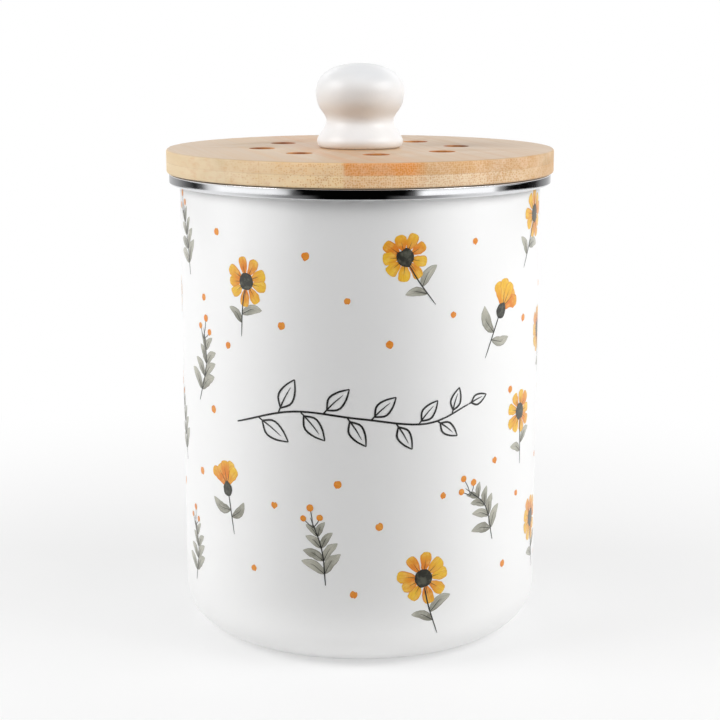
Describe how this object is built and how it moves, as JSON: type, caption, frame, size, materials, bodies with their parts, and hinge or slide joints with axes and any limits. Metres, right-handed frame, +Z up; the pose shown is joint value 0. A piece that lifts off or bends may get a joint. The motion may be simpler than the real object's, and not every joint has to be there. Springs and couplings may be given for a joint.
{
  "type": "compost caddy",
  "caption": "Round enamelled kitchen compost caddy: steel shell with a polished rim, lift-off vented bamboo lid, ball knob and twist-out charcoal filter tray",
  "frame": {"origin": "centre of the base, on the surface that the caddy stands on", "axes": "+Z up along the shell's axis; -Y towards the front, as the picture sees it; +X to the right"},
  "size_m": [0.165, 0.165, 0.2429],
  "materials": {
    "enamel": "gloss",
    "polished_steel": "polished",
    "bamboo": "satin",
    "bamboo_under": "satin",
    "bamboo_plug": "satin",
    "silicone": "satin",
    "glazed_knob": "gloss",
    "brass": "satin",
    "zinc_steel": "satin",
    "cage_plastic": "satin",
    "charcoal": "matte",
    "tray_plastic": "satin"
  },
  "bodies": {
    "caddy": {"enamel_shell": "enamel", "rim_band": "polished_steel"},
    "lid": {"lid_top_ply": "bamboo", "lid_bottom_ply": "bamboo_under", "plug_ring": "bamboo_plug", "seal_ring": "silicone", "knob": "glazed_knob", "knob_insert": "brass", "knob_washer": "zinc_steel", "knob_screw": "zinc_steel", "filter_cage": "cage_plastic", "cage_screws_set": "zinc_steel"},
    "filter": {"filter_pad": "charcoal"},
    "tray": {"filter_tray": "tray_plastic"}
  },
  "joints": [
    {"name": "lid_lift", "type": "slide", "parent": "caddy", "child": "lid", "axis": [0, 0, 1], "range_m": [0, 0.08]},
    {"name": "filter_drop", "type": "slide", "parent": "lid", "child": "filter", "axis": [0, 0, 1], "range_m": [-0.0049, 0]},
    {"name": "tray_turn", "type": "hinge", "parent": "filter", "child": "tray", "pos_m": [0, 0, 0.186], "axis": [0, 0, 1], "range_deg": [-72, 0]}
  ],
  "couplings": [
    {"joint": "filter_drop", "follows": "tray_turn", "m_per_rad": 0.0038197}
  ]
}
